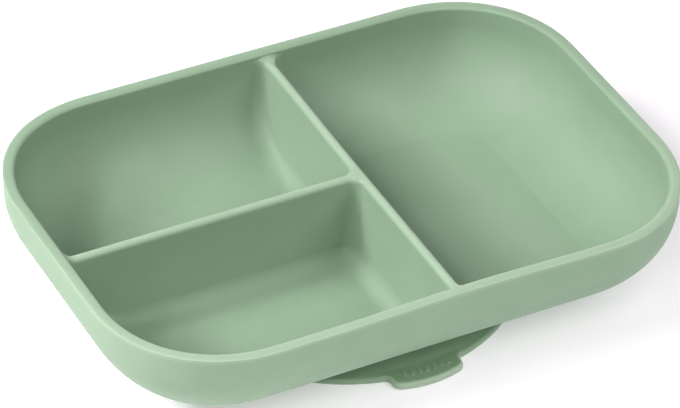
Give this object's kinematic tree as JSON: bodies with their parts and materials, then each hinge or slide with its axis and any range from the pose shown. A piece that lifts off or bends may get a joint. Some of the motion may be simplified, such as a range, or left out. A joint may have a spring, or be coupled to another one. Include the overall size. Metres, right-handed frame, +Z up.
{
  "type": "suction bowl",
  "caption": "Rounded-rectangular silicone feeding bowl divided into compartments, on a round suction base with a pull tab that peels its lip off the table.",
  "frame": {"origin": "middle of the sealing lip, on the table, below the middle of the bowl's length", "axes": "+X along the bowl's long side towards the large compartment, +Y towards the back, away from the pull tab, +Z up out of the bowl"},
  "size_m": [0.23, 0.161, 0.045],
  "materials": {
    "bowl_silicone": "matt sage-green moulded silicone with a soft sheen",
    "base_silicone": "matt sage-green moulded silicone, smooth on the sealing face"
  },
  "bodies": {
    "base": {"suction_lip": "base_silicone"},
    "bowl": {"bowl": "bowl_silicone", "suction_hub": "base_silicone", "suction_skirt": "base_silicone"},
    "tab": {"release_tab": "base_silicone"}
  },
  "joints": [
    {"name": "suction_press", "type": "slide", "parent": "base", "child": "bowl", "axis": [0, 0, -1], "range_m": [0, 0.0014], "stiffness_N_per_m": 5000, "springref_m": -0.0009, "deforming": ["suction_skirt"]},
    {"name": "tab_lift", "type": "hinge", "parent": "base", "child": "tab", "pos_m": [0, -0.0615, 0.00325], "axis": [-1, 0, 0], "range_deg": [0, 50], "stiffness_Nm_per_rad": 0.01}
  ]
}
